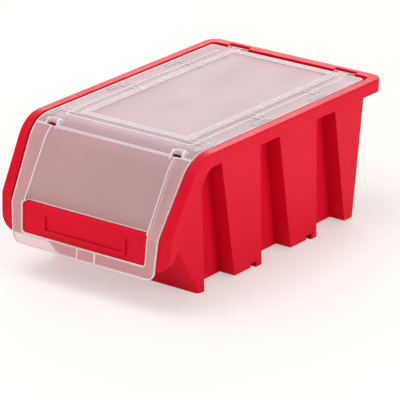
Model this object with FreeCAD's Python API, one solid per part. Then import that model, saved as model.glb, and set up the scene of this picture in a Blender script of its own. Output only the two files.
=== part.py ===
import FreeCAD, Part
import math
import os

# A hanging parts bin: a moulded bin with a fluted tub, a clear lid hinged on the rear of its rim and a
# clear front flap hinged on the front of the lid. All sizes are in millimetres.
# Working frame: x = 0 on the plane of symmetry, y = 0 on the rear edge of the rim with the front at -y,
# z = 0 on top of the rim. The finished pieces are moved so that the origin is the centre of the base.
# A "depth" is a distance below the top of the rim, and an "inset" is a distance behind an outer face.

# Bin: overall sizes
RIM_WIDTH = 250.0
RIM_FLAT_LENGTH = 342.8
BIN_HEIGHT = 169.0
WALL = 2.0

# Rim: it runs flat, turns down a slope and ends in a nearly upright front plate
SLOPE = math.radians(31.3)
PLATE_LEAN = math.radians(5.6)
KNEE_DEPTH = 77.5
BEND_RADIUS = 42.0
KNEE_RADIUS = 9.0
PLATE_BOTTOM_DEPTH = 120.0
PLATE_CORNER_RADIUS = 20.0
RIM_SIDE_DRAFT = 0.053
RIM_REAR_RADIUS = 16.0
RIM_EDGE_RADIUS = 1.6
SKIRT_DEPTH = 15.5
SLOPE_SKIRT_DEPTH = 20.0
SKIRT_ARCH_RADIUS = 20.0

# Recess in the rim that takes the lid and the flap
BAND_WIDTH = 11.5
REAR_BAND_WIDTH = 13.5
RECESS_DRAFT = 0.09
RECESS_REAR_RADIUS = 7.0

# Tub: the inner walls, outer faces
TUB_INSET = 18.9
TUB_DRAFT = 0.1275
TUB_CORNER_RADIUS = 6.0
REAR_WALL_SETBACK = 41.8
REAR_WALL_DRAFT = 0.028
FRONT_WALL_SETBACK = 2.0
FRONT_WALL_SLOPE = 0.7235
FOOT_HEIGHT = 2.8
SILL_DEPTH = 82.0
SILL_RADIUS = 4.0

# Side panels: hollow, open below, parted by three flutes
PANEL_INSET = 1.0
PANEL_DRAFT = 0.121
FRONT_PANEL_DRAFT = 0.14
FOLD_RADIUS = 5.0
FOLD_REACH = 1.5
FLUTE_COUNT = 3
FRONT_FLUTE_SETBACK = 1.5
REAR_PANEL_LENGTH = 27.8
FLUTE_TOP_WIDTH = 36.0
FLUTE_FRONT_LEAN = 0.168
FRONT_FLUTE_LEAN = 0.194
FLUTE_REAR_LEAN = 0.295

# Foot tabs and the notches beside them
TAB_LENGTH = 10.0
TAB_WIDTH = 11.0
NOTCH_LENGTH = 10.5
NOTCH_HEIGHT = 7.5
FRONT_FOOT_WIDTH = 4.0

# Label holder on the front plate
LABEL_HALF_WIDTH = 59.0
LABEL_TOP_DEPTH = 92.5
LABEL_BOTTOM_DEPTH = 110.0
LABEL_BAR = 4.0
LABEL_BOTTOM_BAR = 2.6
LABEL_PROUD = 2.2
LABEL_SLOT = 1.0
LABEL_SLOT_REACH = 1.6

# Lid
LID_THICKNESS = 2.0
LID_DROP = 0.75
LID_SEAT_GAP = 0.3
LID_SIDE_GAP = 3.3
LID_REAR_GAP = 6.9
LID_CORNER_RADIUS = 5.0
RING_SIDE_INSET = 51.0
RING_REAR_INSET = 27.8
RING_FRONT_INSET = 41.9
RING_WIDTH = 9.0
RING_HEIGHT = 0.75
RING_GROOVE = 1.6
RING_RADIUS = 5.0
SMALLEST_RADIUS = 0.5
RAIL_SIDE_INSET = 35.9
RAIL_FRONT_INSET = 27.4
RAIL_WIDTH = 1.0
RAIL_HEIGHT = 0.35
LOCATOR_STEM_INSET = 54.5
LOCATOR_HEAD_INSET = 24.0
LOCATOR_OUTER_INSET = 18.0
LOCATOR_STEM_LENGTH = 10.0
LOCATOR_HEAD_LENGTH = 27.0
LOCATOR_HEAD_OFFSET = 2.0
LOCATOR_FLUTE_OFFSET = 34.3
LOCATOR_BEAD = 1.2
LOCATOR_FLOOR = 0.3
LOCATOR_HEIGHT = 1.0

# Flap
FLAP_DRAFT = 0.08
FLAP_GAP = 0.5
CREASE_INNER_RADIUS = 1.5
FLAP_STRIP_INSET = 38.0
FLAP_LIP_DEPTH = 130.0
FLAP_LIP_RADIUS = 10.0
MIDDLE_DROP = 1.0
MIDDLE_TURN_RADIUS = 32.0
WINDOW_SIDE_INSET = 36.0
WINDOW_BOTTOM_DEPTH = 116.5
WINDOW_DRAFT = 0.045
WINDOW_RADIUS = 4.0
FLAP_RIB_PLACES = (-6.8, 18.0)
FLAP_RIB_WIDTH = 1.2
FLAP_RIB_PROUD = 0.9

# Hinges: the pins are moulded on the lid
PIN_RADIUS = 1.3
PIN_CLEARANCE = 0.08
FRONT_AXIS_INSET = 8.8
FRONT_AXIS_DEPTH = 3.5
HINGE_GAP_TURN = math.radians(29.7)
HINGE_GAP = 0.8
TONGUE_INSET = 30.5
TONGUE_WIDTH = 12.0
LUG_THICKNESS = 2.0
LUG_RADIUS = 3.0
LUG_SIDE_GAP = 0.6
LUG_NOTCH_GAP = 0.9
GUSSET_LENGTH = 13.0
REAR_AXIS_SETBACK = 11.5
REAR_AXIS_DEPTH = 3.4
REAR_TAB_INSET = 48.0
REAR_TAB_WIDTH = 11.0
REAR_BAR_RADIUS = 2.0
REAR_NOTCH_WIDTH = 30.0
REAR_NOTCH_EDGE = 6.5
REAR_BAR_GAP = 0.5
SOCKET_DEPTH = 4.0

# Sizes worked out from the ones above
RECESS_DEPTH = LID_DROP + LID_THICKNESS + LID_SEAT_GAP
LEDGE_DEPTH = RECESS_DEPTH + WALL
PANEL_BOTTOM_DEPTH = BIN_HEIGHT - FOOT_HEIGHT
BEND_TANGENT = BEND_RADIUS * math.tan((math.pi / 2 - SLOPE) / 2)
BEND_CENTRE_Y = -RIM_FLAT_LENGTH + BEND_TANGENT
BEYOND = 60.0
FAR = 2 * RIM_FLAT_LENGTH
TUB_HALF_WIDTH = RIM_WIDTH / 2 - TUB_INSET
PANEL_HALF_WIDTH = RIM_WIDTH / 2 - PANEL_INSET
FLUTE_FRONT = RIM_FLAT_LENGTH - FRONT_FLUTE_SETBACK
FLUTE_PITCH = (FLUTE_FRONT - REAR_PANEL_LENGTH) / FLUTE_COUNT
RING_HALF_WIDTH = RIM_WIDTH / 2 - RING_SIDE_INSET
RING_FRONT = RIM_FLAT_LENGTH - RING_FRONT_INSET
RAIL_HALF_WIDTH = RIM_WIDTH / 2 - RAIL_SIDE_INSET
RAIL_FRONT = RIM_FLAT_LENGTH - RAIL_FRONT_INSET
FLAP_STRIP_INNER = RIM_WIDTH / 2 - FLAP_STRIP_INSET
WINDOW_HALF_WIDTH = RIM_WIDTH / 2 - WINDOW_SIDE_INSET
FRONT_AXIS_SETBACK = RIM_FLAT_LENGTH - FRONT_AXIS_INSET
REAR_TAB_PLACE = RIM_WIDTH / 2 - REAR_TAB_INSET
TONGUE_OUTER = RIM_WIDTH / 2 - TONGUE_INSET
TONGUE_INNER = TONGUE_OUTER - TONGUE_WIDTH
OUTER_LUG_OUTER = TONGUE_OUTER + LUG_SIDE_GAP + LUG_THICKNESS
INNER_LUG_INNER = TONGUE_INNER - LUG_SIDE_GAP - LUG_THICKNESS


def vec(x, y, z):
    return FreeCAD.Vector(x, y, z)


def rounded_face(corners):
    """A flat face whose outline runs through (point, radius) corners, rounded where the radius isn't 0."""
    runs = []
    arcs = []
    for index, (point, radius) in enumerate(corners):
        if radius == 0:
            runs.append((point, point))
            arcs.append(None)
            continue
        back = (corners[index - 1][0] - point).normalize()
        ahead = (corners[(index + 1) % len(corners)][0] - point).normalize()
        half_angle = back.getAngle(ahead) / 2
        start = point + back * (radius / math.tan(half_angle))
        end = point + ahead * (radius / math.tan(half_angle))
        inward = (back + ahead).normalize()
        middle = point + inward * (radius / math.sin(half_angle) - radius)
        runs.append((start, end))
        arcs.append(Part.Arc(start, middle, end).toShape())
    edges = []
    for index, arc in enumerate(arcs):
        previous_end = runs[index - 1][1]
        start = runs[index][0]
        if (start - previous_end).Length > 1e-6:
            edges.append(Part.LineSegment(previous_end, start).toShape())
        if arc is not None:
            edges.append(arc)
    return Part.Face(Part.Wire(edges))


def side_prism(outline, half_width):
    """Spread a side outline of (y, z, radius) corners across the bin."""
    face = rounded_face([(vec(-half_width, y, z), radius) for y, z, radius in outline])
    return face.extrude(vec(2 * half_width, 0, 0))


def side_slice(outline, x_from, x_to):
    """Spread a side outline of (y, z, radius) corners from one x to another."""
    face = rounded_face([(vec(x_from, y, z), radius) for y, z, radius in outline])
    return face.extrude(vec(x_to - x_from, 0, 0))


def front_prism(half_outline, y_from=BEYOND, y_to=-RIM_FLAT_LENGTH - 2 * BEYOND):
    """Spread a front outline along y. It is given as its +x half, from the top down, and is mirrored."""
    right = [(vec(x, y_from, z), radius) for x, z, radius in half_outline]
    left = [(vec(-x, y_from, z), radius) for x, z, radius in reversed(half_outline)]
    return rounded_face(right + left).extrude(vec(0, y_to - y_from, 0))


def plan_prism(half_outline, z_from, z_to):
    """Raise a plan outline from z_from to z_to. It is given as its +x half, from the rear forward."""
    right = [(vec(x, y, z_from), radius) for x, y, radius in half_outline]
    left = [(vec(-x, y, z_from), radius) for x, y, radius in reversed(half_outline)]
    return rounded_face(right + left).extrude(vec(0, 0, z_to - z_from))


def box(x_from, x_to, y_from, y_to, z_from, z_to):
    size = vec(x_to - x_from, y_to - y_from, z_to - z_from)
    return Part.makeBox(size.x, size.y, size.z, vec(x_from, y_from, z_from))


def rod(radius, x_from, x_to, y, z):
    return Part.makeCylinder(radius, x_to - x_from, vec(x_from, y, z), vec(1, 0, 0))


def mirrored(shape):
    return shape.mirror(vec(0, 0, 0), vec(1, 0, 0))


def both_sides(shape):
    return [shape, mirrored(shape)]


def fuse_all(shapes):
    return shapes[0].multiFuse(shapes[1:]).removeSplitter()


def slope_y(depth, inset=0.0):
    """The sloping face of the rim at a depth, or a face that lies inset behind it."""
    return -RIM_FLAT_LENGTH + inset / math.cos(SLOPE) - depth * math.tan(SLOPE)


def plate_y(depth, inset=0.0):
    """The outer face of the front plate at a depth, or a face that lies inset behind it."""
    return slope_y(KNEE_DEPTH) + inset / math.cos(PLATE_LEAN) - (depth - KNEE_DEPTH) * math.tan(PLATE_LEAN)


def knee_depth(slope_inset, plate_inset):
    """The depth where a face inset behind the slope meets a face inset behind the plate."""
    gap = slope_inset / math.cos(SLOPE) - plate_inset / math.cos(PLATE_LEAN)
    return KNEE_DEPTH + gap / (math.tan(SLOPE) - math.tan(PLATE_LEAN))


def rear_wall_y(depth, inset=0.0):
    return -REAR_WALL_SETBACK + REAR_WALL_DRAFT * depth - inset


def front_wall_y(depth, inset=0.0):
    """The outer face of the lower front wall, which leans back from the sill to the base."""
    top = slope_y(KNEE_DEPTH) + FRONT_WALL_SETBACK
    return top + FRONT_WALL_SLOPE * (depth - KNEE_DEPTH) + inset * math.hypot(1, FRONT_WALL_SLOPE)


def bend_corner(inset):
    return (slope_y(inset, inset), -inset, BEND_RADIUS - inset)


def slope_outline(rear_y, inset, bottom):
    """Side outline of everything behind the rim's flat and its slope, down to a depth."""
    return [
        (rear_y, -inset, 0),
        bend_corner(inset),
        (slope_y(bottom, inset), -bottom, 0),
        (rear_y, -bottom, 0),
    ]


def path_outline(rear_y, inset, plate_inset, bottom, knee_radius):
    """Side outline of everything behind the rim's outer path, down to a depth."""
    knee = knee_depth(inset, plate_inset)
    return [
        (rear_y, -inset, 0),
        bend_corner(inset),
        (slope_y(knee, inset), -knee, knee_radius),
        (plate_y(bottom, plate_inset), -bottom, 0),
        (rear_y, -bottom, 0),
    ]


def rim_side_outline():
    """Side outline of the rim with its skirt, from the outer path to the skirt's lower edge."""
    arch = SKIRT_DEPTH
    return [
        (0, 0, 0),
        bend_corner(0),
        (slope_y(KNEE_DEPTH), -KNEE_DEPTH, KNEE_RADIUS),
        (plate_y(PLATE_BOTTOM_DEPTH), -PLATE_BOTTOM_DEPTH, 0),
        (slope_y(PLATE_BOTTOM_DEPTH, SLOPE_SKIRT_DEPTH), -PLATE_BOTTOM_DEPTH, 0),
        (slope_y(arch, SLOPE_SKIRT_DEPTH), -arch, SKIRT_ARCH_RADIUS),
        (0, -arch, 0),
    ]


def rim_front_outline(inset):
    """Front outline of the rim: it narrows downwards and its lower corners are round."""
    bottom = PLATE_BOTTOM_DEPTH
    half_bottom = RIM_WIDTH / 2 - RIM_SIDE_DRAFT * bottom - inset
    return [
        (RIM_WIDTH / 2 - inset, 0, 0),
        (half_bottom, -bottom + inset, PLATE_CORNER_RADIUS - inset),
    ]


def rim_plan_outline(inset):
    return [
        (RIM_WIDTH / 2 - inset, -inset, RIM_REAR_RADIUS - inset),
        (RIM_WIDTH / 2 - inset, -RIM_FLAT_LENGTH - 2 * BEYOND, 0),
    ]


def rim_block():
    """The rim as a solid block, with round rear corners and a rounded outer edge."""
    block = side_prism(rim_side_outline(), RIM_WIDTH / 2)
    block = block.common(front_prism(rim_front_outline(0)))
    corners = [edge for edge in block.Edges if is_rear_corner(edge)]
    block = block.makeFillet(RIM_REAR_RADIUS, corners)
    return block.makeFillet(RIM_EDGE_RADIUS, outer_edges(block))


def middle_of(edge):
    return edge.valueAt((edge.FirstParameter + edge.LastParameter) / 2)


def is_rear_corner(edge):
    middle = middle_of(edge)
    return abs(middle.y) < 0.01 and abs(middle.x) > RIM_WIDTH / 2 - RIM_REAR_RADIUS


def outer_edges(block):
    """The edges where the rim's top, slope and front plate meet its rear, side and lower faces."""
    found = []
    for edge in block.Edges:
        middle = middle_of(edge)
        on_top = abs(middle.z) < 0.01
        on_face = middle.y < bend_face_y(-middle.z) + 0.3
        bend_line = abs(middle.x) < 0.01 and -PLATE_BOTTOM_DEPTH < middle.z - 0.01 and middle.y < -BEYOND
        if (on_top or on_face) and not bend_line:
            found.append(edge)
    return found


def bend_face_y(depth):
    """The outer path of the rim in front of the flat, at a depth."""
    arc_bottom = BEND_RADIUS * (1 - math.sin(SLOPE))
    if depth < arc_bottom:
        rise = BEND_RADIUS - depth
        return BEND_CENTRE_Y - math.sqrt(BEND_RADIUS ** 2 - rise ** 2)
    if depth < KNEE_DEPTH:
        return slope_y(depth)
    return plate_y(depth)


def rim_underside():
    """The hollow below the rim, inside its skirt."""
    outline = path_outline(0, WALL, WALL, BIN_HEIGHT + BEYOND, KNEE_RADIUS - WALL)
    hollow = side_prism(outline, RIM_WIDTH / 2)
    half_bottom = RIM_WIDTH / 2 - RIM_SIDE_DRAFT * BIN_HEIGHT - WALL
    hollow = hollow.common(front_prism([(RIM_WIDTH / 2 - WALL, 0, 0), (half_bottom, -BIN_HEIGHT, 0)]))
    return hollow.common(plan_prism(rim_plan_outline(WALL), -BIN_HEIGHT, 0))


def recess_region(depth, margin):
    """Everything inside the recess's edge, to a depth behind the rim's face, grown sideways by a margin."""
    half_top = RIM_WIDTH / 2 - BAND_WIDTH + margin
    half_bottom = half_top - RECESS_DRAFT * SILL_DEPTH
    rear = -REAR_BAND_WIDTH + margin
    over = side_prism(slope_outline(BEYOND, -WALL, SILL_DEPTH), RIM_WIDTH)
    under = side_prism(slope_outline(2 * BEYOND, depth, BIN_HEIGHT), RIM_WIDTH)
    region = over.cut(under)
    region = region.common(front_prism([(half_top, WALL, 0), (half_bottom, -SILL_DEPTH, 0)]))
    plan = [(half_top, rear, RECESS_REAR_RADIUS + margin), (half_top, -RIM_FLAT_LENGTH - 2 * BEYOND, 0)]
    return region.common(plan_prism(plan, -BIN_HEIGHT, WALL))


def tub_half_width(depth):
    return TUB_HALF_WIDTH - TUB_DRAFT * depth


def tub_side_outline(inset, floor_depth):
    """Side outline of the tub, from the ledge under the lid down to the floor."""
    knee = knee_depth(RECESS_DEPTH, RECESS_DEPTH)
    return [
        (rear_wall_y(RECESS_DEPTH, inset), -RECESS_DEPTH, 0),
        bend_corner(RECESS_DEPTH),
        (slope_y(knee, RECESS_DEPTH), -knee, 0),
        (front_wall_y(knee, inset), -knee, 0),
        (front_wall_y(floor_depth, inset), -floor_depth, TUB_CORNER_RADIUS - inset),
        (rear_wall_y(floor_depth, inset), -floor_depth, TUB_CORNER_RADIUS - inset),
    ]


def tub_block():
    block = side_prism(tub_side_outline(0, PANEL_BOTTOM_DEPTH), RIM_WIDTH)
    bottom = PANEL_BOTTOM_DEPTH
    return block.common(front_prism([(tub_half_width(0), 0, 0), (tub_half_width(bottom), -bottom, 0)]))


def tub_hollow():
    """The inside of the bin with its mouth, open through the recess and above the sill."""
    floor = PANEL_BOTTOM_DEPTH - WALL
    outline = [
        (rear_wall_y(-WALL, WALL), WALL, 0),
        (slope_y(SILL_DEPTH) - BEYOND, WALL, 0),
        (slope_y(SILL_DEPTH) - BEYOND, -SILL_DEPTH, 0),
        (front_wall_y(SILL_DEPTH, WALL), -SILL_DEPTH, 0),
        (front_wall_y(floor, WALL), -floor, TUB_CORNER_RADIUS),
        (rear_wall_y(floor, WALL), -floor, TUB_CORNER_RADIUS),
    ]
    half_top = tub_half_width(-WALL) - WALL
    half_floor = tub_half_width(floor) - WALL
    hollow = side_prism(outline, RIM_WIDTH)
    return hollow.common(front_prism([(half_top, WALL, 0), (half_floor, -floor, TUB_CORNER_RADIUS)]))


def flute_front_y(number, depth):
    """Front edge of a flute, counted from the front, at a depth. The first leans more than the others."""
    lean = FRONT_FLUTE_LEAN if number == 0 else FLUTE_FRONT_LEAN
    return -FLUTE_FRONT + number * FLUTE_PITCH + lean * (depth - SKIRT_DEPTH)


def flute_rear_y(number, depth):
    top = -FLUTE_FRONT + number * FLUTE_PITCH + FLUTE_TOP_WIDTH
    return top + FLUTE_REAR_LEAN * (depth - SKIRT_DEPTH)


def panel_side_outline(number, inset, top, bottom):
    """Side outline of one panel. Panel 0 ends on the lower front wall and the last on the rear wall."""
    if number == 0:
        knee = knee_depth(RECESS_DEPTH, RECESS_DEPTH)
        front = [
            (slope_y(top, inset + RECESS_DEPTH), -top, 0),
            (slope_y(knee, inset + RECESS_DEPTH), -knee, 0),
            (front_wall_y(bottom, inset), -bottom, 0),
        ]
    else:
        front = [
            (flute_rear_y(number - 1, top) - inset, -top, 0),
            (flute_rear_y(number - 1, bottom) - inset, -bottom, 0),
        ]
        front = [(y + 2 * inset, z, radius) for y, z, radius in front]
    if number == FLUTE_COUNT:
        rear = [(rear_wall_y(bottom, inset), -bottom, 0), (rear_wall_y(top, inset), -top, 0)]
    else:
        rear = [
            (flute_front_y(number, bottom) - inset, -bottom, 0),
            (flute_front_y(number, top) - inset, -top, 0),
        ]
    return front + rear


def panel_draft(number):
    return FRONT_PANEL_DRAFT if number == 0 else PANEL_DRAFT


def panel_half_width(number, depth):
    return PANEL_HALF_WIDTH - panel_draft(number) * (depth - SKIRT_DEPTH)


def panel(number):
    """One hollow side panel on the +x side, open below. The first one stands on the base all round."""
    top = SKIRT_DEPTH - WALL
    bottom = BIN_HEIGHT if number == 0 else PANEL_BOTTOM_DEPTH
    limits = RIM_WIDTH
    outer = side_slice(panel_side_outline(number, 0, top, bottom), 0, limits)
    outer = outer.common(front_prism(panel_front_outline(number, 0)))
    inner = side_slice(panel_side_outline(number, WALL, SKIRT_DEPTH, bottom + WALL / 2), 0, limits)
    inner = inner.common(front_prism(panel_front_outline(number, WALL)))
    if number == 0:
        outer = rounded_fold(outer, 0)
        inner = rounded_fold(inner, WALL)
    return outer.cut(inner).cut(tub_core())


def rounded_fold(solid, inset):
    """Round the fold where the first panel turns into the lower front wall."""
    folds = []
    for edge in solid.Edges:
        middle = middle_of(edge)
        depth = -middle.z
        beside = abs(middle.x) - panel_half_width(0, depth) + inset
        behind = middle.y - front_wall_y(depth, inset)
        if depth > KNEE_DEPTH and abs(beside) < FOLD_REACH / 2 and behind < FOLD_REACH:
            folds.append(edge)
    return solid.makeFillet(FOLD_RADIUS - inset, folds)


def panel_front_outline(number, inset):
    top = -WALL
    bottom = BIN_HEIGHT + BEYOND
    return [
        (panel_half_width(number, WALL) - inset, top, 0),
        (panel_half_width(number, bottom) - inset, -bottom, 0),
    ]


def tub_core():
    """A wedge inside the tub's side walls that panels are kept out of."""
    bottom = PANEL_BOTTOM_DEPTH + BEYOND
    half_top = tub_half_width(0) - WALL / 2
    return front_prism([(half_top, 0, 0), (tub_half_width(bottom) - WALL / 2, -bottom, 0)])


def front_foot():
    """The bar under the lower front wall that carries the wall's face down to the base."""
    top = PANEL_BOTTOM_DEPTH - WALL
    outline = [
        (front_wall_y(top), -top, 0),
        (front_wall_y(BIN_HEIGHT), -BIN_HEIGHT, 0),
        (front_wall_y(BIN_HEIGHT) + FRONT_FOOT_WIDTH, -BIN_HEIGHT, 0),
        (front_wall_y(BIN_HEIGHT) + FRONT_FOOT_WIDTH, -top, 0),
    ]
    return side_prism(outline, tub_half_width(BIN_HEIGHT))


def foot_tab(number):
    """The foot at the rear lower corner of a panel on the +x side."""
    rear = flute_front_y(number, BIN_HEIGHT)
    outer = panel_half_width(number, BIN_HEIGHT)
    top = -BIN_HEIGHT + NOTCH_HEIGHT
    return box(outer - TAB_WIDTH, outer, rear - TAB_LENGTH, rear, -BIN_HEIGHT, top)


def foot_notch(number):
    """The cut-out in a panel's lower edge, in front of its foot tab."""
    rear = flute_front_y(number, BIN_HEIGHT) - TAB_LENGTH
    outer = panel_half_width(number, BIN_HEIGHT)
    top = -BIN_HEIGHT + NOTCH_HEIGHT
    return box(outer - TAB_WIDTH, RIM_WIDTH, rear - NOTCH_LENGTH, rear, -BIN_HEIGHT, top)


def label_holder():
    """A U-shaped frame on the front plate, open at the top, with a slot behind its inner edge."""
    outer = label_slab(LABEL_HALF_WIDTH, LABEL_TOP_DEPTH, LABEL_BOTTOM_DEPTH, 0, LABEL_PROUD)
    inner_half = LABEL_HALF_WIDTH - LABEL_BAR
    inner_bottom = LABEL_BOTTOM_DEPTH - LABEL_BOTTOM_BAR
    above = LABEL_TOP_DEPTH - LABEL_BAR
    opening = label_slab(inner_half, above, inner_bottom, -WALL / 2, 2 * LABEL_PROUD)
    slot_half = inner_half + LABEL_SLOT_REACH
    slot = label_slab(slot_half, above, inner_bottom + LABEL_SLOT_REACH, 0, LABEL_SLOT)
    plate_behind = label_slab(LABEL_HALF_WIDTH, LABEL_TOP_DEPTH, LABEL_BOTTOM_DEPTH, -WALL / 2, 0)
    return outer.cut(opening).cut(slot).fuse(plate_behind)


def label_slab(half_width, top, bottom, low, high):
    """A slab parallel to the front plate, from low to high in front of its outer face."""
    outline = [
        (plate_y(top, -high), -top, 0),
        (plate_y(bottom, -high), -bottom, 0),
        (plate_y(bottom, -low), -bottom, 0),
        (plate_y(top, -low), -top, 0),
    ]
    return side_prism(outline, half_width)


def sill():
    """The flat top that joins the front plate to the lower front wall, rounded in front."""
    rear = front_wall_y(SILL_DEPTH, WALL)
    bottom = SILL_DEPTH + SILL_RADIUS + WALL
    outline = [
        (rear, -SILL_DEPTH, 0),
        (plate_y(SILL_DEPTH), -SILL_DEPTH, SILL_RADIUS),
        (plate_y(bottom), -bottom, 0),
        (rear, -bottom, 0),
    ]
    half = RIM_WIDTH / 2 - BAND_WIDTH - RECESS_DRAFT * SILL_DEPTH + WALL
    return side_prism(outline, half)


def sill_rounding():
    """What is taken off the front plate's upper edge so that the sill is rounded in front."""
    half = RIM_WIDTH / 2 - BAND_WIDTH - RECESS_DRAFT * SILL_DEPTH
    bottom = SILL_DEPTH + SILL_RADIUS
    strip = side_prism([
        (front_wall_y(SILL_DEPTH), -SILL_DEPTH, 0),
        (plate_y(SILL_DEPTH) - WALL, -SILL_DEPTH, 0),
        (plate_y(bottom) - WALL, -bottom, 0),
        (front_wall_y(SILL_DEPTH), -bottom, 0),
    ], half)
    return strip.cut(sill())


def rear_sockets():
    """The bosses in the rim that take the ends of the lid's rear cross bars."""
    solids = []
    for side in (-1, 1):
        x = REAR_TAB_PLACE + side * (REAR_NOTCH_WIDTH / 2 + SOCKET_DEPTH / 2 + WALL / 2)
        half = (SOCKET_DEPTH + WALL) / 2
        radius = PIN_RADIUS + PIN_CLEARANCE + WALL
        bottom = -REAR_AXIS_DEPTH - radius
        front = -REAR_AXIS_SETBACK - radius
        rear = -REAR_AXIS_SETBACK + radius
        solids.append(box(x - half, x + half, front, rear, bottom, -WALL / 2))
    return solids


def rear_notch():
    """The step in the rear band that a lid tab turns in."""
    half = REAR_NOTCH_WIDTH / 2
    low = -REAR_AXIS_DEPTH - REAR_BAR_RADIUS - REAR_BAR_GAP
    return box(REAR_TAB_PLACE - half, REAR_TAB_PLACE + half, notch_front(), -REAR_NOTCH_EDGE, low, WALL)


def notch_front():
    return -REAR_AXIS_SETBACK - REAR_BAR_RADIUS - REAR_BAR_GAP


def notch_tray():
    """The floor and walls under a rear notch."""
    half = REAR_NOTCH_WIDTH / 2 + WALL
    low = -REAR_AXIS_DEPTH - REAR_BAR_RADIUS - REAR_BAR_GAP - WALL
    front = notch_front() - WALL
    return box(REAR_TAB_PLACE - half, REAR_TAB_PLACE + half, front, -REAR_NOTCH_EDGE + WALL, low, -WALL / 2)


def socket_bore():
    half = REAR_NOTCH_WIDTH / 2 + SOCKET_DEPTH
    radius = PIN_RADIUS + PIN_CLEARANCE
    return rod(radius, REAR_TAB_PLACE - half, REAR_TAB_PLACE + half, -REAR_AXIS_SETBACK, -REAR_AXIS_DEPTH)


def bin_body():
    shell = rim_block().cut(rim_underside())
    tray = recess_region(LEDGE_DEPTH, WALL).common(rim_reach())
    solids = [shell, tray, tub_block(), front_foot(), sill(), label_holder()]
    for number in range(FLUTE_COUNT + 1):
        solids += both_sides(panel(number))
    for number in range(1, FLUTE_COUNT):
        solids += both_sides(foot_tab(number))
    solids += both_sides(notch_tray())
    for socket in rear_sockets():
        solids += both_sides(socket)
    body = fuse_all(solids)
    cuts = [recess_region(RECESS_DEPTH, 0), tub_hollow(), sill_rounding()]
    cuts += both_sides(rear_notch())
    cuts += both_sides(socket_bore())
    for number in range(1, FLUTE_COUNT):
        cuts += both_sides(foot_notch(number))
    for cutter in cuts:
        body = body.cut(cutter)
    return body


def rim_reach():
    """The space inside the rim's outer faces, which the recess's tray may not leave."""
    reach = side_prism(path_outline(0, 0, 0, BIN_HEIGHT, KNEE_RADIUS), RIM_WIDTH / 2)
    return reach.common(plan_prism(rim_plan_outline(0), -BIN_HEIGHT, 0))


def lid_half_width(depth):
    return RIM_WIDTH / 2 - BAND_WIDTH - LID_SIDE_GAP - FLAP_DRAFT * depth


def bend_wedge(turn):
    """Everything of the bend behind a radial plane at the given turn from straight up."""
    reach = FAR
    centre = (BEND_CENTRE_Y, -BEND_RADIUS)
    tip = (centre[0] - reach * math.sin(turn), centre[1] + reach * math.cos(turn))
    return side_prism([
        (centre[0], centre[1], 0),
        (tip[0], tip[1], 0),
        (BEYOND, tip[1], 0),
        (BEYOND, centre[1], 0),
    ], RIM_WIDTH)


def lid_plate():
    rear = -REAR_BAND_WIDTH - LID_REAR_GAP
    outer = side_prism(slope_outline(rear, LID_DROP, BEND_RADIUS), RIM_WIDTH)
    inner = side_prism(slope_outline(BEYOND, LID_DROP + LID_THICKNESS, 2 * BEND_RADIUS), RIM_WIDTH)
    plate = outer.cut(inner).common(bend_wedge(HINGE_GAP_TURN))
    half = lid_half_width(0)
    plan = [(half, rear, LID_CORNER_RADIUS), (half, -RIM_FLAT_LENGTH - BEYOND, 0)]
    return plate.common(plan_prism(plan, -BIN_HEIGHT, WALL))


def plan_frame(half, rear, front, width, radius, z_from, z_to):
    """A rounded rectangular bead, half its width to each side of the given centre line."""
    def block(grow):
        corner = max(radius + grow, SMALLEST_RADIUS)
        outline = [(half + grow, -rear + grow, corner), (half + grow, -front - grow, corner)]
        return plan_prism(outline, z_from, z_to)
    return block(width / 2).cut(block(-width / 2))


def lid_ring():
    """The raised ring around the lid's middle panel, with a groove along its centre line."""
    low = -LID_DROP - LID_THICKNESS / 2
    top = RING_HEIGHT - LID_DROP
    centre_line = (RING_HALF_WIDTH, RING_REAR_INSET, RING_FRONT)
    ring = plan_frame(*centre_line, RING_WIDTH, RING_RADIUS, low, top)
    groove = plan_frame(*centre_line, RING_GROOVE, RING_RADIUS, -LID_DROP, WALL)
    return ring.cut(groove)


def lid_rail():
    """The thin rails outside the ring, down both sides and across the front."""
    low = -LID_DROP - LID_THICKNESS / 2
    top = RAIL_HEIGHT - LID_DROP
    rail = plan_frame(RAIL_HALF_WIDTH, RING_REAR_INSET, RAIL_FRONT, RAIL_WIDTH, RING_RADIUS, low, top)
    rear_bar = box(-RIM_WIDTH, RIM_WIDTH, -RING_REAR_INSET - RING_RADIUS - RAIL_WIDTH, 0, low, top)
    return rail.cut(rear_bar)


def lid_locator(number):
    """A raised T on the +x side of the lid, whose head keeps a foot tab of the bin above in place."""
    stem_front = -FLUTE_FRONT + number * FLUTE_PITCH + LOCATOR_FLUTE_OFFSET
    head_rear = stem_front + LOCATOR_STEM_LENGTH - LOCATOR_HEAD_OFFSET
    stem_inner = RIM_WIDTH / 2 - LOCATOR_STEM_INSET
    head_inner = RIM_WIDTH / 2 - LOCATOR_HEAD_INSET
    head_outer = RIM_WIDTH / 2 - LOCATOR_OUTER_INSET
    stem = bordered_pad(stem_inner, head_inner + LOCATOR_BEAD, stem_front, stem_front + LOCATOR_STEM_LENGTH)
    head = bordered_pad(head_inner, head_outer, head_rear - LOCATOR_HEAD_LENGTH, head_rear)
    return stem.fuse(head)


def bordered_pad(x_from, x_to, y_from, y_to):
    """A low pad on the lid with a taller bead round its edge."""
    low = -LID_DROP - LID_THICKNESS / 2
    pad = box(x_from, x_to, y_from, y_to, low, LOCATOR_HEIGHT - LID_DROP)
    inner_x = (x_from + LOCATOR_BEAD, x_to - LOCATOR_BEAD)
    inner_y = (y_from + LOCATOR_BEAD, y_to - LOCATOR_BEAD)
    return pad.cut(box(*inner_x, *inner_y, LOCATOR_FLOOR - LID_DROP, WALL))


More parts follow.
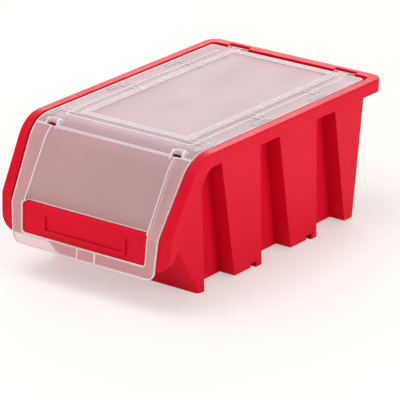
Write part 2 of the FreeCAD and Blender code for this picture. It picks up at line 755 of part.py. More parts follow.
def lid_tongue():
    """The tongue between two flap lugs on the +x side, with its cross pin."""
    y = -FRONT_AXIS_SETBACK
    z = -FRONT_AXIS_DEPTH
    radius = LUG_RADIUS - LUG_SIDE_GAP / 2
    barrel = rod(radius, TONGUE_INNER, TONGUE_OUTER, y, z)
    root_y = y + LUG_RADIUS + 2 * LUG_NOTCH_GAP
    root = side_slice([
        (y, z + radius, 0),
        (y, z - radius, 0),
        (root_y, z - radius / 2, 0),
        (root_y, -LID_DROP - LID_THICKNESS / 4, 0),
    ], TONGUE_INNER, TONGUE_OUTER)
    pin = rod(PIN_RADIUS, INNER_LUG_INNER + LUG_SIDE_GAP, OUTER_LUG_OUTER - LUG_SIDE_GAP, y, z)
    return barrel.fuse(root).fuse(pin)


def lug_notches():
    """The gaps in the lid's front edge on the +x side that the flap's lugs turn in."""
    rear = -FRONT_AXIS_SETBACK + LUG_RADIUS + LUG_NOTCH_GAP
    front = -RIM_FLAT_LENGTH - BEYOND
    low = -BEND_RADIUS
    inner = box(INNER_LUG_INNER - LUG_SIDE_GAP, TONGUE_INNER, front, rear, low, WALL)
    outer = box(TONGUE_OUTER, OUTER_LUG_OUTER + LUG_SIDE_GAP, front, rear, low, WALL)
    tongue = box(TONGUE_INNER, TONGUE_OUTER, front, rear, low, WALL)
    return [inner, outer, tongue]


def rear_tab():
    """A rear tab on the +x side with its cross bar and pins."""
    y = -REAR_AXIS_SETBACK
    z = -REAR_AXIS_DEPTH
    half_tab = REAR_TAB_WIDTH / 2
    half_bar = REAR_NOTCH_WIDTH / 2 - REAR_BAR_GAP
    half_pin = REAR_NOTCH_WIDTH / 2 + SOCKET_DEPTH - REAR_BAR_GAP
    lid_edge = -REAR_BAND_WIDTH - LID_REAR_GAP
    plate = side_slice([
        (y, z + REAR_BAR_RADIUS, 0),
        (y, z - REAR_BAR_RADIUS / 2, 0),
        (notch_front() + REAR_BAR_GAP, -LID_DROP - LID_THICKNESS, 0),
        (lid_edge - LID_CORNER_RADIUS, -LID_DROP - LID_THICKNESS, 0),
        (lid_edge - LID_CORNER_RADIUS, -LID_DROP, 0),
        (lid_edge, -LID_DROP, 0),
    ], REAR_TAB_PLACE - half_tab, REAR_TAB_PLACE + half_tab)
    bar = rod(REAR_BAR_RADIUS, REAR_TAB_PLACE - half_bar, REAR_TAB_PLACE + half_bar, y, z)
    pin = rod(PIN_RADIUS, REAR_TAB_PLACE - half_pin, REAR_TAB_PLACE + half_pin, y, z)
    return plate.fuse(bar).fuse(pin)


def top_lid():
    plate = lid_plate()
    for notch in lug_notches():
        plate = plate.cut(notch).cut(mirrored(notch))
    solids = [plate, lid_ring(), lid_rail()]
    for number in range(FLUTE_COUNT):
        solids += both_sides(lid_locator(number))
    solids += both_sides(lid_tongue())
    solids += both_sides(rear_tab())
    return fuse_all(solids)


def flap_strips():
    """The flap's outer sheet: it follows the slope, then hangs in front of the front plate."""
    rear = -BEND_RADIUS
    lip = FLAP_LIP_DEPTH
    outer_radius = CREASE_INNER_RADIUS + LID_THICKNESS
    outer = path_outline(rear, LID_DROP, -FLAP_GAP - LID_THICKNESS, lip, outer_radius)
    inner = path_outline(0, LID_DROP + LID_THICKNESS, -FLAP_GAP, lip + BEYOND, CREASE_INNER_RADIUS)
    return side_prism(outer, RIM_WIDTH).cut(side_prism(inner, RIM_WIDTH))


def centre_foot_y():
    """Where the flap's middle panel comes down upright, over the rear of the sill."""
    return front_wall_y(SILL_DEPTH, WALL) - LID_THICKNESS + WALL / 4


def centre_outline(rear_y, inset, bottom):
    """Side outline behind the middle panel: down the slope, then round to upright above the sill."""
    upright = centre_foot_y() + inset
    drop = LID_DROP + MIDDLE_DROP + inset
    turn = (slope_y(0, drop) - upright) / math.tan(SLOPE)
    return [
        (rear_y, -drop, 0),
        bend_corner(drop),
        (upright, -turn, MIDDLE_TURN_RADIUS - inset),
        (upright, -bottom, 0),
        (rear_y, -bottom, 0),
    ]


def flap_centre():
    """The flap's middle panel, which dips behind the side strips and stops above the sill."""
    bottom = SILL_DEPTH - FLAP_GAP
    outer = side_prism(centre_outline(-BEND_RADIUS, 0, bottom), FLAP_STRIP_INNER + LID_THICKNESS)
    return outer.cut(behind_centre(bottom))


def behind_centre(bottom):
    """Everything behind the middle panel's inner surface."""
    return side_prism(centre_outline(BEYOND, LID_THICKNESS, bottom + BEYOND), RIM_WIDTH)


def flap_webs():
    """The upright webs that join the middle panel to the side strips."""
    bottom = SILL_DEPTH - FLAP_GAP
    behind_strip = side_prism(slope_outline(-BEND_RADIUS, LID_DROP, bottom), RIM_WIDTH)
    web = behind_strip.cut(behind_centre(bottom))
    span = box(FLAP_STRIP_INNER, FLAP_STRIP_INNER + LID_THICKNESS, -FAR, 0, -BIN_HEIGHT, 0)
    return [web.common(span), web.common(mirrored(span))]


def window():
    """The opening in the flap in front of the label holder."""
    bottom = WINDOW_BOTTOM_DEPTH
    half_bottom = WINDOW_HALF_WIDTH - WINDOW_DRAFT * (bottom - SILL_DEPTH)
    outline = [(WINDOW_HALF_WIDTH, -SILL_DEPTH + FLAP_GAP, 0), (half_bottom, -bottom, WINDOW_RADIUS)]
    return front_prism(outline, slope_y(0) - WALL)


def middle_gap():
    """What is taken out of the outer sheet where the middle panel takes its place."""
    bottom = SILL_DEPTH - FLAP_GAP
    return box(-FLAP_STRIP_INNER, FLAP_STRIP_INNER, -FAR, 0, -bottom, 0)


def flap_front_outline():
    """Front outline of the flap, with round lower corners on its lip."""
    bottom = FLAP_LIP_DEPTH
    return [(lid_half_width(0), 0, 0), (lid_half_width(bottom), -bottom, FLAP_LIP_RADIUS)]


def flap_ribs():
    """The short upright ribs on the grip lip."""
    top = WINDOW_BOTTOM_DEPTH
    bottom = FLAP_LIP_DEPTH
    crest = -FLAP_GAP - LID_THICKNESS - FLAP_RIB_PROUD
    root = -FLAP_GAP - LID_THICKNESS / 2
    outline = [
        (plate_y(top, crest), -top, 0),
        (plate_y(bottom, crest), -bottom, 0),
        (plate_y(bottom, root), -bottom, 0),
        (plate_y(top, root), -top, 0),
    ]
    half = FLAP_RIB_WIDTH / 2
    return [side_slice(outline, place - half, place + half) for place in FLAP_RIB_PLACES]


def flap_lug(x_from, x_to):
    """A hinge lug with a gusset that runs down the flap."""
    y = -FRONT_AXIS_SETBACK
    z = -FRONT_AXIS_DEPTH
    barrel = rod(LUG_RADIUS, x_from, x_to, y, z)
    end_depth = BEND_RADIUS * (1 - math.sin(SLOPE)) + GUSSET_LENGTH * math.cos(SLOPE) / 2
    low_depth = end_depth - GUSSET_LENGTH / 3
    end_drop = LID_DROP + MIDDLE_DROP + LID_THICKNESS / 4
    gusset = side_slice([
        (y - LUG_RADIUS * math.sin(SLOPE), z + LUG_RADIUS * math.cos(SLOPE), 0),
        (slope_y(end_depth, end_drop), -end_depth, 0),
        (slope_y(low_depth, LID_DROP + LID_THICKNESS), -low_depth, 0),
        (y - LUG_RADIUS * math.sin(SLOPE), z - LUG_RADIUS * math.cos(SLOPE), 0),
    ], x_from, x_to)
    behind_flap = side_prism(slope_outline(BEYOND, LID_DROP + LID_THICKNESS, BIN_HEIGHT), RIM_WIDTH)
    return barrel.fuse(gusset.cut(behind_flap))


def lug_bore():
    radius = PIN_RADIUS + PIN_CLEARANCE
    ends = (INNER_LUG_INNER - WALL, OUTER_LUG_OUTER + WALL)
    return rod(radius, *ends, -FRONT_AXIS_SETBACK, -FRONT_AXIS_DEPTH)


def front_flap():
    hinge_edge = HINGE_GAP_TURN + HINGE_GAP / BEND_RADIUS
    sheet = flap_strips().cut(middle_gap()).fuse(flap_centre())
    for web in flap_webs():
        sheet = sheet.fuse(web)
    sheet = sheet.cut(bend_wedge(hinge_edge)).common(front_prism(flap_front_outline()))
    sheet = sheet.cut(window())
    inner_lug = flap_lug(INNER_LUG_INNER, TONGUE_INNER - LUG_SIDE_GAP)
    outer_lug = flap_lug(TONGUE_OUTER + LUG_SIDE_GAP, OUTER_LUG_OUTER)
    solids = [sheet] + flap_ribs() + both_sides(inner_lug) + both_sides(outer_lug)
    flap = fuse_all(solids)
    for bore in both_sides(lug_bore()):
        flap = flap.cut(bore)
    return flap


def main():
    os.makedirs("parts", exist_ok=True)
    pieces = {"bin_body": bin_body(), "top_lid": top_lid(), "front_flap": front_flap()}
    whole = Part.makeCompound(list(pieces.values())).BoundBox
    to_base_centre = vec(0, -(whole.YMin + whole.YMax) / 2, BIN_HEIGHT)
    for name, shape in pieces.items():
        placed = shape.translated(to_base_centre)
        placed.exportStep("parts/" + name + ".step")
        print(name, "solids", len(placed.Solids), "valid", placed.isValid(), "volume", round(placed.Volume))


main()
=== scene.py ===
"""Looks of the hanging parts bin: red moulded body, clear lid and clear front flap, in metres."""

import logging
import math
from dataclasses import dataclass
from enum import Enum

import bpy
from mathutils import Matrix, Vector


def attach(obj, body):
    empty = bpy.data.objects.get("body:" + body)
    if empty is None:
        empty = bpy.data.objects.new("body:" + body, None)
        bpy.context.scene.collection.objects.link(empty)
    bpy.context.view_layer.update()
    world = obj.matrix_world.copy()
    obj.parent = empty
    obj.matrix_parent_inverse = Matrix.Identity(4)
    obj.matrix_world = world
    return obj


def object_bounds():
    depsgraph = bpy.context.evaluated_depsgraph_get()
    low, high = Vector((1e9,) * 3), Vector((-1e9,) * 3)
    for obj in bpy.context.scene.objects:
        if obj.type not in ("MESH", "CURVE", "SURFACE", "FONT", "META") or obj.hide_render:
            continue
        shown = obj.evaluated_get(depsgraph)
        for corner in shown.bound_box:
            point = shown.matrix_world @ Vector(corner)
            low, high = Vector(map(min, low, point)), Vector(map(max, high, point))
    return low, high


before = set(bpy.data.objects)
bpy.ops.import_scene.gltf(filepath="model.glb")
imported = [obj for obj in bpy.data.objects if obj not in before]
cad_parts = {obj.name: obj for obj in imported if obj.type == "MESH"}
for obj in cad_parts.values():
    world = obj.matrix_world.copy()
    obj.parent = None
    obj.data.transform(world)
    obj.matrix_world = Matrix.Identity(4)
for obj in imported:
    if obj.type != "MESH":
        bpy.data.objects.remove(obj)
cad_low, cad_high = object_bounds()

log = logging.getLogger("parts_bin")
PLASTIC_IOR = 1.5
WELD_DISTANCE = 1e-6


class Body(Enum):
    """The bodies that the pieces ride on."""

    BIN = "bin"
    LID = "lid"
    FLAP = "flap"


class Node(Enum):
    """The moulded pieces as they come from the frame."""

    BIN = "bin_body"
    LID = "top_lid"
    FLAP = "front_flap"


class Slot(Enum):
    """The record's material slots."""

    RED = "red_plastic"
    CLEAR_LID = "clear_lid_plastic"
    CLEAR_FLAP = "clear_flap_plastic"


class NodeSheet:
    """Adds shader nodes to a material or a world and joins them, so that a finish reads as steps."""

    noise_roughness: float = 0.55
    middle_low: float = 0.3
    middle_high: float = 0.7

    def __init__(self, owner: bpy.types.Material | bpy.types.World) -> None:
        """Start an empty node tree.

        Args:
            owner: The material or world whose tree is filled.
        """
        owner.use_nodes = True
        self.tree = owner.node_tree
        self.tree.nodes.clear()

    def add(self, kind: str, **settings: object) -> bpy.types.Node:
        """Add a node.

        Args:
            kind: The node's type, such as ShaderNodeTexNoise.
            settings: Its properties, and values of its inputs by socket name with _ for a space.

        Returns:
            The new node.
        """
        node = self.tree.nodes.new(kind)
        for name, value in settings.items():
            socket = node.inputs.get(name.replace("_", " "))
            if socket is not None and not hasattr(type(node), name):
                socket.default_value = value
            else:
                setattr(node, name, value)
        return node

    def join(self, start: bpy.types.NodeSocket, end: bpy.types.NodeSocket) -> None:
        """Link an output to an input."""
        self.tree.links.new(start, end)

    def object_coordinates(self, stretch: tuple[float, float, float]) -> bpy.types.NodeSocket:
        """Give the object's own coordinates, stretched along the axes."""
        place = self.add("ShaderNodeTexCoord")
        mapping = self.add("ShaderNodeMapping", Scale=stretch)
        self.join(place.outputs["Object"], mapping.inputs["Vector"])
        return mapping.outputs["Vector"]

    def noise(self, scale: float, detail: float, stretch: tuple[float, float, float] = (1, 1, 1)
              ) -> bpy.types.NodeSocket:
        """Give a noise pattern on object coordinates."""
        pattern = self.add("ShaderNodeTexNoise", Scale=scale, Detail=detail,
                           Roughness=self.noise_roughness)
        self.join(self.object_coordinates(stretch), pattern.inputs["Vector"])
        return pattern.outputs["Fac"]

    def ramp(self, value: bpy.types.NodeSocket, low: float, high: float) -> bpy.types.NodeSocket:
        """Spread a pattern's middle values between two numbers."""
        spread = self.add("ShaderNodeMapRange", clamp=True)
        spread.inputs["From Min"].default_value = self.middle_low
        spread.inputs["From Max"].default_value = self.middle_high
        spread.inputs["To Min"].default_value = low
        spread.inputs["To Max"].default_value = high
        self.join(value, spread.inputs["Value"])
        return spread.outputs["Result"]

    def near_edges(self, reach: float, full_turn: float) -> bpy.types.NodeSocket:
        """Give 1 beside a sharp edge and 0 on open faces.

        Args:
            reach: How far from the edge the value fades out, in metres.
            full_turn: The turn of the rounded normal, as 1 minus a cosine, at which the value is 1.

        Returns:
            The value's socket.
        """
        rounded = self.add("ShaderNodeBevel", samples=8, Radius=reach)
        face = self.add("ShaderNodeNewGeometry")
        likeness = self.add("ShaderNodeVectorMath", operation="DOT_PRODUCT")
        self.join(rounded.outputs["Normal"], likeness.inputs[0])
        self.join(face.outputs["Normal"], likeness.inputs[1])
        spread = self.add("ShaderNodeMapRange", clamp=True)
        spread.inputs["From Min"].default_value = 1.0
        spread.inputs["From Max"].default_value = 1.0 - full_turn
        self.join(likeness.outputs["Value"], spread.inputs["Value"])
        return spread.outputs["Result"]

    def blend(self, amount: bpy.types.NodeSocket, first: tuple | bpy.types.NodeSocket,
              second: tuple) -> bpy.types.NodeSocket:
        """Mix a colour, or a colour pattern, with a second colour by a pattern."""
        mix = self.add("ShaderNodeMix", data_type="RGBA")
        colours = [socket for socket in mix.inputs if socket.type == "RGBA"]
        if isinstance(first, tuple):
            colours[0].default_value = (*first, 1.0)
        else:
            self.join(first, colours[0])
        colours[1].default_value = (*second, 1.0)
        self.join(amount, mix.inputs[0])
        return [socket for socket in mix.outputs if socket.type == "RGBA"][0]

    def bump(self, height: bpy.types.NodeSocket, depth: float, strength: float,
             under: bpy.types.NodeSocket | None = None) -> bpy.types.NodeSocket:
        """Turn a height pattern into a relief of the given depth in metres."""
        relief = self.add("ShaderNodeBump", Strength=strength, Distance=depth)
        self.join(height, relief.inputs["Height"])
        if under is not None:
            self.join(under, relief.inputs["Normal"])
        return relief.outputs["Normal"]


@dataclass(frozen=True)
class RedMoulding:
    """Through-coloured polypropylene with a fine spark-eroded skin, soft edges and light handling marks."""

    name: str = "red_moulding"
    colour: tuple[float, float, float] = (0.70, 0.006, 0.024)
    deep_colour: tuple[float, float, float] = (0.64, 0.004, 0.020)
    gloss_low: float = 0.30
    gloss_high: float = 0.42
    edge_radius: float = 0.0007
    specular_level: float = 0.07
    grain_scale: float = 2600.0
    grain_depth: float = 0.00003
    grain_strength: float = 0.35
    flow_scale: float = 9.0
    streak_scale: float = 60.0
    streak_stretch: tuple[float, float, float] = (0.25, 0.25, 3.0)
    streak_depth: float = 0.00005
    streak_strength: float = 0.25
    scuff_scale: float = 38.0
    scuff_stretch: tuple[float, float, float] = (1.0, 0.35, 1.6)

    def build(self) -> bpy.types.Material:
        """Build the material.

        Returns:
            The red plastic with colour drift, grain, flow marks and scuffs.
        """
        material = bpy.data.materials.new(self.name)
        sheet = NodeSheet(material)
        flow = sheet.noise(self.flow_scale, 4.0)
        streaks = sheet.noise(self.streak_scale, 3.0, self.streak_stretch)
        grain = sheet.noise(self.grain_scale, 2.0)
        scuffs = sheet.noise(self.scuff_scale, 6.0, self.scuff_stretch)
        shader = sheet.add("ShaderNodeBsdfPrincipled")
        shader.inputs["IOR"].default_value = PLASTIC_IOR
        shader.inputs["Specular IOR Level"].default_value = self.specular_level
        sheet.join(sheet.blend(sheet.ramp(flow, 0.0, 1.0), self.colour, self.deep_colour),
                   shader.inputs["Base Color"])
        sheet.join(sheet.ramp(scuffs, self.gloss_low, self.gloss_high), shader.inputs["Roughness"])
        edge = sheet.add("ShaderNodeBevel", samples=6, Radius=self.edge_radius)
        soft = sheet.bump(streaks, self.streak_depth, self.streak_strength, edge.outputs["Normal"])
        rough = sheet.bump(grain, self.grain_depth, self.grain_strength, soft)
        sheet.join(rough, shader.inputs["Normal"])
        output = sheet.add("ShaderNodeOutputMaterial")
        sheet.join(shader.outputs["BSDF"], output.inputs["Surface"])
        return material


@dataclass(frozen=True)
class ClearMoulding:
    """Clear polypropylene: a milky sheet, a little cloudy, whose edges and ribs gather the light, shown as
    a painted highlight that whitens the colour beside them.
    """

    name: str
    # The pink in the colours given for the lid and the flap is partly painted red light from the bin; the
    # rest is the sheet's milky tone.
    colour: tuple[float, float, float]
    cloud_colour: tuple[float, float, float]
    opacity: float
    gloss_low: float = 0.30
    gloss_high: float = 0.40
    edge_radius: float = 0.0004
    # Painted highlight: the whitened colour laid beside sharp edges and ribs.
    painted_edge_highlight_colour: tuple[float, float, float] = (1.0, 0.93, 0.96)
    highlight_reach: float = 0.0022
    full_edge_turn: float = 0.012
    cloud_scale: float = 14.0
    ripple_scale: float = 24.0
    ripple_stretch: tuple[float, float, float] = (1.0, 0.4, 1.0)
    ripple_depth: float = 0.0002
    ripple_strength: float = 0.2
    grain_scale: float = 420.0
    grain_depth: float = 0.00002
    grain_strength: float = 0.05

    def build(self) -> bpy.types.Material:
        """Build the material.

        Returns:
            The clear plastic, whose see-through share is the same all over.
        """
        material = bpy.data.materials.new(self.name)
        sheet = NodeSheet(material)
        cloud = sheet.noise(self.cloud_scale, 5.0)
        ripple = sheet.noise(self.ripple_scale, 2.0, self.ripple_stretch)
        grain = sheet.noise(self.grain_scale, 2.0)
        shader = sheet.add("ShaderNodeBsdfPrincipled")
        shader.inputs["IOR"].default_value = PLASTIC_IOR
        shader.inputs["Alpha"].default_value = self.opacity
        clouded = sheet.blend(sheet.ramp(cloud, 0.0, 1.0), self.colour, self.cloud_colour)
        # Painted highlight: beside sharp edges and ribs the colour turns to the whitened edge colour,
        # standing in for the light gathered there.
        painted_edge_highlight = sheet.near_edges(self.highlight_reach, self.full_edge_turn)
        sheet.join(sheet.blend(painted_edge_highlight, clouded, self.painted_edge_highlight_colour), shader.inputs["Base Color"])
        sheet.join(sheet.ramp(ripple, self.gloss_low, self.gloss_high), shader.inputs["Roughness"])
        edge = sheet.add("ShaderNodeBevel", samples=6, Radius=self.edge_radius)
        wave = sheet.bump(ripple, self.ripple_depth, self.ripple_strength, edge.outputs["Normal"])
        fine = sheet.bump(grain, self.grain_depth, self.grain_strength, wave)
        sheet.join(fine, shader.inputs["Normal"])
        output = sheet.add("ShaderNodeOutputMaterial")
        sheet.join(shader.outputs["BSDF"], output.inputs["Surface"])
        return material


@dataclass(frozen=True)
class PaleFloor:
    """A plain pale floor that shows white to the camera and keeps the object's shadow."""

    name: str = "pale_floor"
    colour: tuple[float, float, float] = (1.0, 0.98, 0.93)
    whiteness: float = 0.46

    def build(self) -> bpy.types.Material:
        """Build the material.

        Returns:
            A matt white that adds its own white only where the camera sees it.
        """
        material = bpy.data.materials.new(self.name)
        sheet = NodeSheet(material)
        matt = sheet.add("ShaderNodeBsdfDiffuse", Color=(*self.colour, 1.0))
        glow = sheet.add("ShaderNodeEmission", Color=(1.0, 1.0, 1.0, 1.0), Strength=1.0)
        seen = sheet.add("ShaderNodeLightPath")
        share = sheet.add("ShaderNodeMath", operation="MULTIPLY")
        share.inputs[1].default_value = self.whiteness
        sheet.join(seen.outputs["Is Camera Ray"], share.inputs[0])
        mix = sheet.add("ShaderNodeMixShader")
        sheet.join(share.outputs[0], mix.inputs[0])
        sheet.join(matt.outputs[0], mix.inputs[1])
        sheet.join(glow.outputs[0], mix.inputs[2])
        output = sheet.add("ShaderNodeOutputMaterial")
        sheet.join(mix.outputs[0], output.inputs["Surface"])
        return material


class MeshSheet:
    """Builds a geometry node tree with named inputs and runs it on a mesh."""

    def __init__(self, name: str) -> None:
        """Start an empty geometry tree with a mesh input and output.

        Args:
            name: The tree's name.
        """
        self.tree = bpy.data.node_groups.new(name, "GeometryNodeTree")
        self.identifiers: dict[str, str] = {}
        self.declare("Geometry", "NodeSocketGeometry")
        self.tree.interface.new_socket("Geometry", in_out="OUTPUT", socket_type="NodeSocketGeometry")
        self.source = self.tree.nodes.new("NodeGroupInput")
        self.sink = self.tree.nodes.new("NodeGroupOutput")

    def declare(self, name: str, kind: str) -> None:
        """Add a named input and keep its identifier."""
        socket = self.tree.interface.new_socket(name, in_out="INPUT", socket_type=kind)
        self.identifiers[name] = socket.identifier

    def add(self, kind: str, **settings: object) -> bpy.types.Node:
        """Add a node with the given properties."""
        node = self.tree.nodes.new(kind)
        for name, value in settings.items():
            setattr(node, name, value)
        return node

    def join(self, start: bpy.types.NodeSocket, end: bpy.types.NodeSocket) -> None:
        """Link an output to an input."""
        self.tree.links.new(start, end)

    def run(self, carrier: bpy.types.Object, inputs: dict[str, object], name: str) -> bpy.types.Object:
        """Run the tree on an object and keep the result as a plain mesh.

        Args:
            carrier: The object that the modifier works on. It is deleted afterwards.
            inputs: A value for each named input.
            name: The new piece's name.

        Returns:
            A new object at the origin that holds the finished mesh.
        """
        modifier = carrier.modifiers.new(name, "NODES")
        modifier.node_group = self.tree
        for label, value in inputs.items():
            modifier[self.identifiers[label]] = value
        graph = bpy.context.evaluated_depsgraph_get()
        graph.update()
        mesh = bpy.data.meshes.new_from_object(carrier.evaluated_get(graph))
        carrier.modifiers.remove(modifier)
        bpy.data.objects.remove(carrier)
        mesh.name = name
        piece = bpy.data.objects.new(name, mesh)
        bpy.context.scene.collection.objects.link(piece)
        return piece


@dataclass
class RolledEdges:
    """Small rolled edges that follow every sharp outer edge of a moulded piece."""

    node: Node
    body: Body
    slot: Slot
    material: bpy.types.Material
    radius: float
    inset: float
    sharpest_left: float = math.radians(50.0)
    sides: int = 6

    def tree(self) -> MeshSheet:
        """Build the tree: weld, pull the skin in and sweep a small round along its sharp edges.

        Returns:
            The finished tree, with its radius, inset, least angle and material as inputs.
        """
        sheet = MeshSheet(self.node.value + "_rolled_edges")
        sheet.declare("Radius", "NodeSocketFloat")
        sheet.declare("Inset", "NodeSocketFloat")
        sheet.declare("Least Angle", "NodeSocketFloat")
        sheet.declare("Material", "NodeSocketMaterial")
        weld = sheet.add("GeometryNodeMergeByDistance")
        weld.inputs["Distance"].default_value = WELD_DISTANCE
        angle = sheet.add("GeometryNodeInputMeshEdgeAngle")
        kept = sheet.add("GeometryNodeCaptureAttribute", domain="EDGE")
        kept.capture_items.new("FLOAT", "Angle")
        normal = sheet.add("GeometryNodeInputNormal")
        shrink = sheet.add("ShaderNodeVectorMath", operation="SCALE")
        move = sheet.add("GeometryNodeSetPosition")
        sharp = sheet.add("FunctionNodeCompare", data_type="FLOAT", operation="GREATER_THAN")
        backwards = sheet.add("ShaderNodeMath", operation="MULTIPLY")
        backwards.inputs[1].default_value = -1.0
        curves = sheet.add("GeometryNodeMeshToCurve")
        profile = sheet.add("GeometryNodeCurvePrimitiveCircle")
        profile.inputs["Resolution"].default_value = self.sides
        sweep = sheet.add("GeometryNodeCurveToMesh")
        sweep.inputs["Fill Caps"].default_value = True
        real = sheet.add("GeometryNodeRealizeInstances")
        paint = sheet.add("GeometryNodeSetMaterial")
        given = sheet.source.outputs
        sheet.join(given["Geometry"], weld.inputs["Geometry"])
        sheet.join(weld.outputs["Geometry"], kept.inputs["Geometry"])
        sheet.join(angle.outputs["Signed Angle"], kept.inputs["Angle"])
        sheet.join(given["Inset"], backwards.inputs[0])
        sheet.join(normal.outputs["Normal"], shrink.inputs[0])
        sheet.join(backwards.outputs[0], shrink.inputs["Scale"])
        sheet.join(kept.outputs["Geometry"], move.inputs["Geometry"])
        sheet.join(shrink.outputs[0], move.inputs["Offset"])
        sheet.join(kept.outputs["Angle"], sharp.inputs[0])
        sheet.join(given["Least Angle"], sharp.inputs[1])
        sheet.join(move.outputs["Geometry"], curves.inputs["Mesh"])
        sheet.join(sharp.outputs[0], curves.inputs["Selection"])
        sheet.join(given["Radius"], profile.inputs["Radius"])
        sheet.join(curves.outputs["Curve"], sweep.inputs["Curve"])
        sheet.join(profile.outputs["Curve"], sweep.inputs["Profile Curve"])
        sheet.join(sweep.outputs["Mesh"], real.inputs["Geometry"])
        sheet.join(real.outputs["Geometry"], paint.inputs["Geometry"])
        sheet.join(given["Material"], paint.inputs["Material"])
        sheet.join(paint.outputs["Geometry"], sheet.sink.inputs["Geometry"])
        return sheet

    def build(self) -> bpy.types.Object:
        """Make the rolled edges, keep them inside the frame's box and let them ride with their piece.

        Returns:
            The finished mesh object.
        """
        carrier = bpy.data.objects.new("carrier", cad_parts[self.node.value].data.copy())
        bpy.context.scene.collection.objects.link(carrier)
        inputs = {"Radius": self.radius, "Inset": self.inset, "Least Angle": self.sharpest_left,
                  "Material": self.material}
        piece = self.tree().run(carrier, inputs, self.node.value + "_rolled_edges")
        for vertex in piece.data.vertices:
            for axis in range(3):
                vertex.co[axis] = min(max(vertex.co[axis], cad_low[axis]), cad_high[axis])
        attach(piece, self.body.value)
        return piece


@dataclass
class Moulding:
    """One moulded piece of the bin: its skin from the frame, its finish and its rolled edges, whose lighter
    copy of the finish is a painted highlight.
    """

    node: Node
    body: Body
    slot: Slot
    finish: RedMoulding | ClearMoulding
    # Painted highlight: a lighter, whiter copy of the finish for the rolled edges.
    edge_highlight_finish: RedMoulding | ClearMoulding
    edge_radius: float = 0.00055
    edge_inset: float = 0.00040

    def dress(self) -> None:
        """Give the piece its finish and build its rolled edges."""
        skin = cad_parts[self.node.value]
        material = self.finish.build()
        for place in skin.material_slots:
            place.material = material
        rolled = RolledEdges(self.node, self.body, self.slot, self.edge_highlight_finish.build(),
                             self.edge_radius, self.edge_inset)
        piece = rolled.build()
        for name in (skin.name, piece.name):
            log.info("%s rides on %s", name, self.body.value)


@dataclass
class Camera:
    """A long lens looking down on the front and the right-hand side, rolled very slightly."""

    azimuth: float = math.radians(38.2531)
    elevation: float = math.radians(20.8367)
    roll: float = math.radians(-0.6955)
    distance: float = 3.62001
    aside: float = 0.0023276
    above: float = -0.0486354
    lens: float = 287.1
    sensor: float = 36.0
    far_clip: float = 60.0
    aim_before_rear: float = 0.190
    aim_below_top: float = 0.070
    rim_height: float = 0.169

    def build(self) -> bpy.types.Object:
        """Place the camera.

        Returns:
            The camera object, which becomes the scene's camera.
        """
        sin_a, cos_a = math.sin(self.azimuth), math.cos(self.azimuth)
        sin_e, cos_e = math.sin(self.elevation), math.cos(self.elevation)
        level = Vector((cos_a, sin_a, 0.0))
        back = Vector((sin_a * cos_e, -cos_a * cos_e, sin_e))
        upright = back.cross(level)
        right = level * math.cos(self.roll) + upright * math.sin(self.roll)
        up = upright * math.cos(self.roll) - level * math.sin(self.roll)
        aim = Vector((0.0, cad_high[1] - self.aim_before_rear, self.rim_height - self.aim_below_top))
        place = aim + back * self.distance + right * self.aside + up * self.above
        data = bpy.data.cameras.new("three_quarter")
        data.lens = self.lens
        data.sensor_width = self.sensor
        data.clip_end = self.far_clip
        camera = bpy.data.objects.new("three_quarter", data)
        camera.matrix_world = Matrix.Translation(place) @ Matrix((right, up, back)).transposed().to_4x4()
        bpy.context.scene.collection.objects.link(camera)
        bpy.context.scene.camera = camera
        return camera


@dataclass(frozen=True)
class SoftBox:
    """A soft studio lamp that faces a point on the object."""

    name: str
    place: tuple[float, float, float]
    width: float
    depth: float
    power: float
    aim: tuple[float, float, float] = (0.0, 0.0, 0.08)

    def build(self) -> bpy.types.Object:
        """Make the lamp and turn it towards its aim.

        Returns:
            The lamp object.
        """
        data = bpy.data.lights.new(self.name, "AREA")
        data.shape = "RECTANGLE"
        data.size = self.width
        data.size_y = self.depth
        data.energy = self.power
        lamp = bpy.data.objects.new(self.name, data)
        lamp.location = self.place
        lamp.rotation_mode = "QUATERNION"
        lamp.rotation_quaternion = (Vector(self.aim) - Vector(self.place)).to_track_quat("-Z", "Y")
        bpy.context.scene.collection.objects.link(lamp)
        return lamp


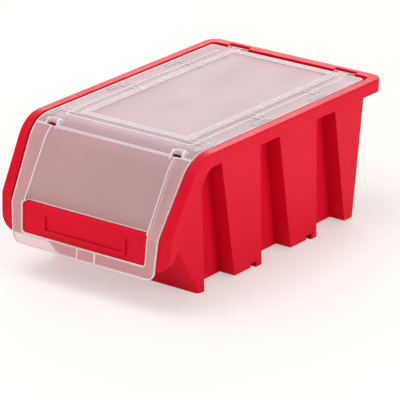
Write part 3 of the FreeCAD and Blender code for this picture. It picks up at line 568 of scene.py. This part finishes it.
@dataclass
class Studio:
    """The pale floor, the even daylight and the soft lamps."""

    floor_reach: float = 12.0
    daylight: float = 0.45
    daylight_colour: tuple[float, float, float, float] = (1.0, 0.985, 0.98, 1.0)
    lamps: tuple[SoftBox, ...] = (
        SoftBox("top_box", (-0.4, -0.6, 2.2), 1.6, 1.6, 25.0),
        SoftBox("side_box", (2.4, 0.3, 0.8), 1.2, 1.2, 24.0),
        SoftBox("front_box", (0.4, -2.4, 0.6), 1.2, 0.8, 9.0),
        SoftBox("back_box", (-1.6, 2.3, 1.2), 2.4, 1.2, 28.0),
    )

    def floor(self) -> bpy.types.Object:
        """Lay the floor under the foot tabs.

        Returns:
            The floor's plane.
        """
        reach = self.floor_reach
        mesh = bpy.data.meshes.new("floor")
        corners = [(-reach, -reach, 0.0), (reach, -reach, 0.0), (reach, reach, 0.0), (-reach, reach, 0.0)]
        mesh.from_pydata(corners, [], [(0, 1, 2, 3)])
        mesh.materials.append(PaleFloor().build())
        plane = bpy.data.objects.new("floor", mesh)
        bpy.context.scene.collection.objects.link(plane)
        return plane

    def world(self) -> bpy.types.World:
        """Build an even light that shows as white to the camera, in gloss and through clear plastic.

        Returns:
            The world, which becomes the scene's.
        """
        world = bpy.data.worlds.new("studio")
        sheet = NodeSheet(world)
        light = sheet.add("ShaderNodeBackground", Color=self.daylight_colour, Strength=self.daylight)
        white = sheet.add("ShaderNodeBackground", Color=(1.0, 1.0, 1.0, 1.0), Strength=1.0)
        path = sheet.add("ShaderNodeLightPath")
        either = sheet.add("ShaderNodeMath", operation="MAXIMUM")
        sheet.join(path.outputs["Is Camera Ray"], either.inputs[0])
        sheet.join(path.outputs["Is Glossy Ray"], either.inputs[1])
        any_of = sheet.add("ShaderNodeMath", operation="MAXIMUM")
        sheet.join(either.outputs[0], any_of.inputs[0])
        sheet.join(path.outputs["Is Transmission Ray"], any_of.inputs[1])
        mix = sheet.add("ShaderNodeMixShader")
        sheet.join(any_of.outputs[0], mix.inputs[0])
        sheet.join(light.outputs[0], mix.inputs[1])
        sheet.join(white.outputs[0], mix.inputs[2])
        output = sheet.add("ShaderNodeOutputWorld")
        sheet.join(mix.outputs[0], output.inputs["Surface"])
        bpy.context.scene.world = world
        return world

    def build(self) -> None:
        """Set the floor, the daylight, the lamps and the plain view transform."""
        self.floor()
        self.world()
        for lamp in self.lamps:
            lamp.build()
        bpy.context.scene.view_settings.view_transform = "Standard"


def main() -> None:
    """Build the camera, the studio and the three mouldings, in that order."""
    logging.basicConfig(level=logging.INFO, format="%(name)s: %(message)s")
    Camera().build()
    Studio().build()
    red = RedMoulding()
    # Painted highlight: each piece's rolled edges take a lighter, whiter copy of its finish, standing in
    # for the light caught along the edges.
    red_edge_highlight = RedMoulding("red_edge_highlight", colour=(0.74, 0.014, 0.03), deep_colour=(0.68, 0.010, 0.024))
    # Painted red light: the lid's and the flap's milky colours are partly tinted pink for red light thrown
    # from the bin, the flap more than the lid.
    lid = ClearMoulding(
        "clear_lid", colour=(0.70, 0.54, 0.57), cloud_colour=(0.66, 0.50, 0.53), opacity=0.46)
    lid_edge_highlight = ClearMoulding(
        "clear_lid_edge", colour=(1.0, 0.95, 0.97), cloud_colour=(0.98, 0.92, 0.94), opacity=0.75)
    flap = ClearMoulding(
        "clear_flap", colour=(0.80, 0.55, 0.57), cloud_colour=(0.75, 0.51, 0.53), opacity=0.38)
    flap_edge_highlight = ClearMoulding(
        "clear_flap_edge", colour=(1.0, 0.90, 0.93), cloud_colour=(0.97, 0.87, 0.90), opacity=0.75)
    Moulding(Node.BIN, Body.BIN, Slot.RED, red, red_edge_highlight, edge_radius=0.0004, edge_inset=0.00034).dress()
    Moulding(Node.LID, Body.LID, Slot.CLEAR_LID, lid, lid_edge_highlight).dress()
    Moulding(Node.FLAP, Body.FLAP, Slot.CLEAR_FLAP, flap, flap_edge_highlight).dress()


if __name__ == "__main__":
    main()
